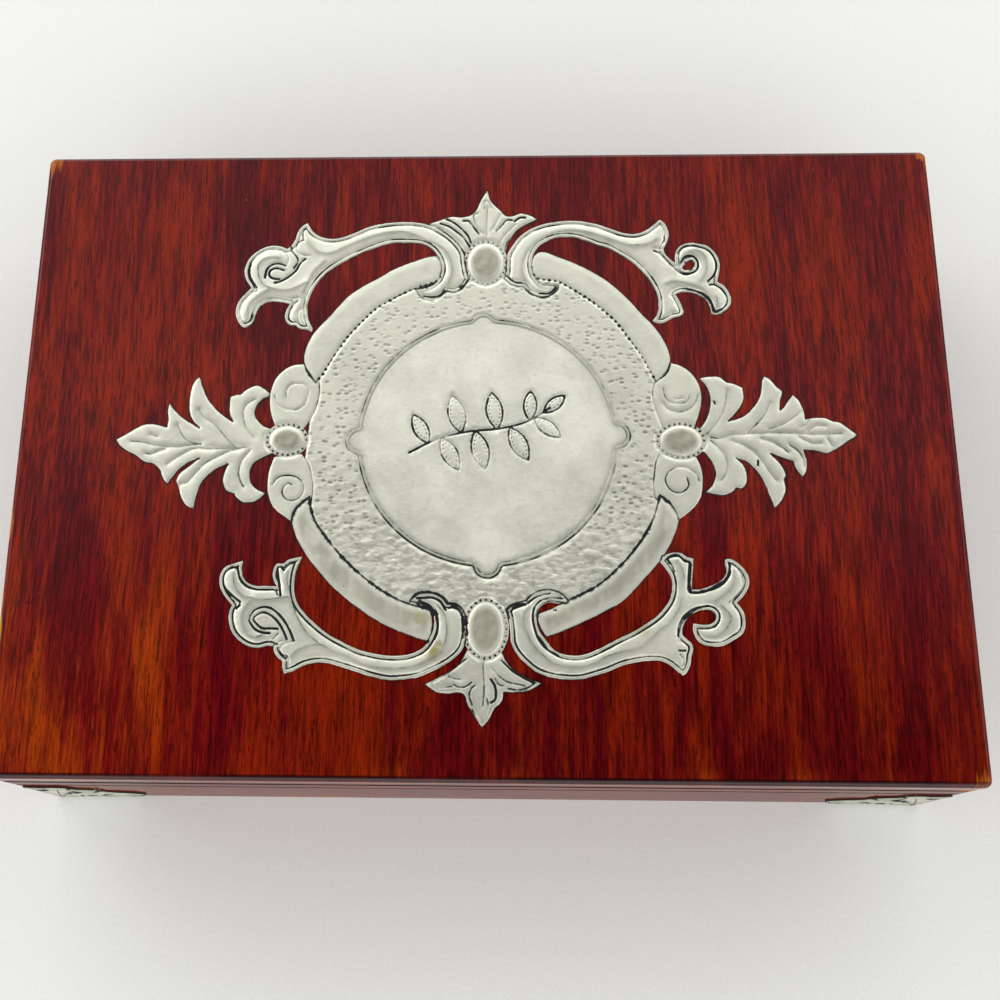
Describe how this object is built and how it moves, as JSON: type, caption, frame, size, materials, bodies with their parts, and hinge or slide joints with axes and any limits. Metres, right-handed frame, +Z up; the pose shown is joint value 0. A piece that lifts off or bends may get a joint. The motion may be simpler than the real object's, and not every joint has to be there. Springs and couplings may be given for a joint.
{
  "type": "tea bag organizer box",
  "caption": "Shallow hinged wooden tea bag box with a divided inside, a pierced and chased pewter cartouche on its lid and pewter mounts on its front corners.",
  "frame": {"origin": "centre of the flat underside that the box stands on", "axes": "+Z up; +X to the right and +Y to the back, seen by someone who stands before the front; hinges at +Y"},
  "size_m": [0.3, 0.2106, 0.0773],
  "materials": {
    "stained_wood": "mahogany-red stain under gloss varnish, corners and arrises rubbed back to orange",
    "inner_wood": "thin mahogany-red stain, satin",
    "pewter": "chased and hammered pewter sheet, polished, dark patina left in the hollows",
    "brass": "plain brass, lightly tarnished"
  },
  "bodies": {
    "box": {"base_panel": "inner_wood", "front_wall": "stained_wood", "back_wall": "stained_wood", "left_wall": "stained_wood", "right_wall": "stained_wood", "long_divider_front": "inner_wood", "long_divider_rear": "inner_wood", "cross_divider_left": "inner_wood", "cross_divider_middle": "inner_wood", "cross_divider_right": "inner_wood", "front_left_corner_mount": "pewter", "front_right_corner_mount": "pewter", "hinge_left_body_leaf": "brass", "hinge_left_pin": "brass", "hinge_right_body_leaf": "brass", "hinge_right_pin": "brass", "body_leaf_screws": "brass"},
    "lid": {"lid_panel": "stained_wood", "lid_front_rail": "stained_wood", "lid_back_rail": "stained_wood", "lid_left_rail": "stained_wood", "lid_right_rail": "stained_wood", "lid_cartouche": "pewter", "hinge_left_lid_leaf": "brass", "hinge_right_lid_leaf": "brass", "lid_leaf_screws": "brass"}
  },
  "joints": [
    {"name": "lid_hinge", "type": "hinge", "parent": "box", "child": "lid", "pos_m": [0, 0.1015, 0.0568], "axis": [-1, 0, 0], "range_deg": [0, 98]}
  ]
}
